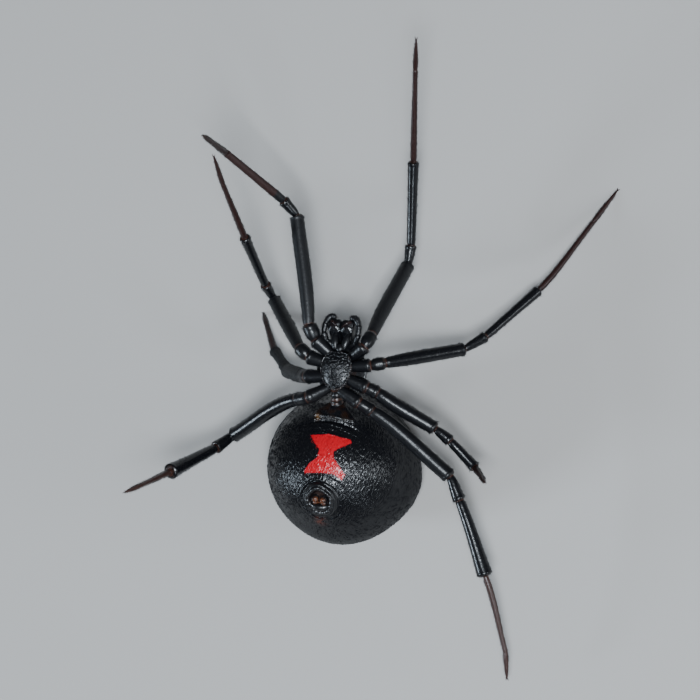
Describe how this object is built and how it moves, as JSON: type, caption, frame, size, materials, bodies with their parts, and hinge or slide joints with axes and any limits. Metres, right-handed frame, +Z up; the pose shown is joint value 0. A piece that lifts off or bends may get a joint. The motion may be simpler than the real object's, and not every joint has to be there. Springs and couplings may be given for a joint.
{
  "type": "black widow spider model",
  "caption": "Life-size still model of a female black widow spider lying belly up with her legs spread, showing the red hourglass mark.",
  "frame": {"origin": "on the floor plane, under the middle of the whole spider's box", "axes": "+Z up, away from the floor and out of the spider's belly; +Y towards the tips of her front legs; +X towards her own left side"},
  "size_m": [0.0226, 0.038, 0.0235],
  "materials": {
    "cuticle_black": "glossy",
    "abdomen_black": "glossy, finely pitted",
    "cuticle_maroon": "satin",
    "cuticle_brown": "satin",
    "eye_lens": "clear gloss",
    "claw": "glossy",
    "setae": "matte"
  },
  "bodies": {
    "root": {"cephalothorax": "cuticle_black", "mouthparts": "cuticle_black", "chelicera_left": "cuticle_black", "palp_left": "cuticle_black", "chelicera_right": "cuticle_black", "palp_right": "cuticle_black", "pedicel": "cuticle_brown", "abdomen": "abdomen_black", "spinnerets": "cuticle_brown", "leg1_left_coxa": "cuticle_black", "leg1_left_femur": "cuticle_black", "leg1_left_patella": "cuticle_black", "leg1_left_tibia": "cuticle_black", "leg1_left_metatarsus": "cuticle_maroon", "leg1_left_tarsus": "cuticle_maroon", "leg1_right_coxa": "cuticle_black", "leg1_right_femur": "cuticle_black", "leg1_right_patella": "cuticle_black", "leg1_right_tibia": "cuticle_black", "leg1_right_metatarsus": "cuticle_maroon", "leg1_right_tarsus": "cuticle_maroon", "leg2_left_coxa": "cuticle_black", "leg2_left_femur": "cuticle_black", "leg2_left_patella": "cuticle_black", "leg2_left_tibia": "cuticle_black", "leg2_left_metatarsus": "cuticle_maroon", "leg2_left_tarsus": "cuticle_maroon", "leg2_right_coxa": "cuticle_black", "leg2_right_femur": "cuticle_black", "leg2_right_patella": "cuticle_black", "leg2_right_tibia": "cuticle_black", "leg2_right_metatarsus": "cuticle_maroon", "leg2_right_tarsus": "cuticle_maroon", "leg3_left_coxa": "cuticle_black", "leg3_left_femur": "cuticle_black", "leg3_left_patella": "cuticle_black", "leg3_left_tibia": "cuticle_black", "leg3_left_metatarsus": "cuticle_maroon", "leg3_left_tarsus": "cuticle_maroon", "leg3_right_coxa": "cuticle_black", "leg3_right_femur": "cuticle_black", "leg3_right_patella": "cuticle_black", "leg3_right_tibia": "cuticle_black", "leg3_right_metatarsus": "cuticle_maroon", "leg3_right_tarsus": "cuticle_maroon", "leg4_left_coxa": "cuticle_black", "leg4_left_femur": "cuticle_black", "leg4_left_patella": "cuticle_black", "leg4_left_tibia": "cuticle_black", "leg4_left_metatarsus": "cuticle_maroon", "leg4_left_tarsus": "cuticle_maroon", "leg4_right_coxa": "cuticle_black", "leg4_right_femur": "cuticle_black", "leg4_right_patella": "cuticle_black", "leg4_right_tibia": "cuticle_black", "leg4_right_metatarsus": "cuticle_maroon", "leg4_right_tarsus": "cuticle_maroon"}
  },
  "joints": []
}
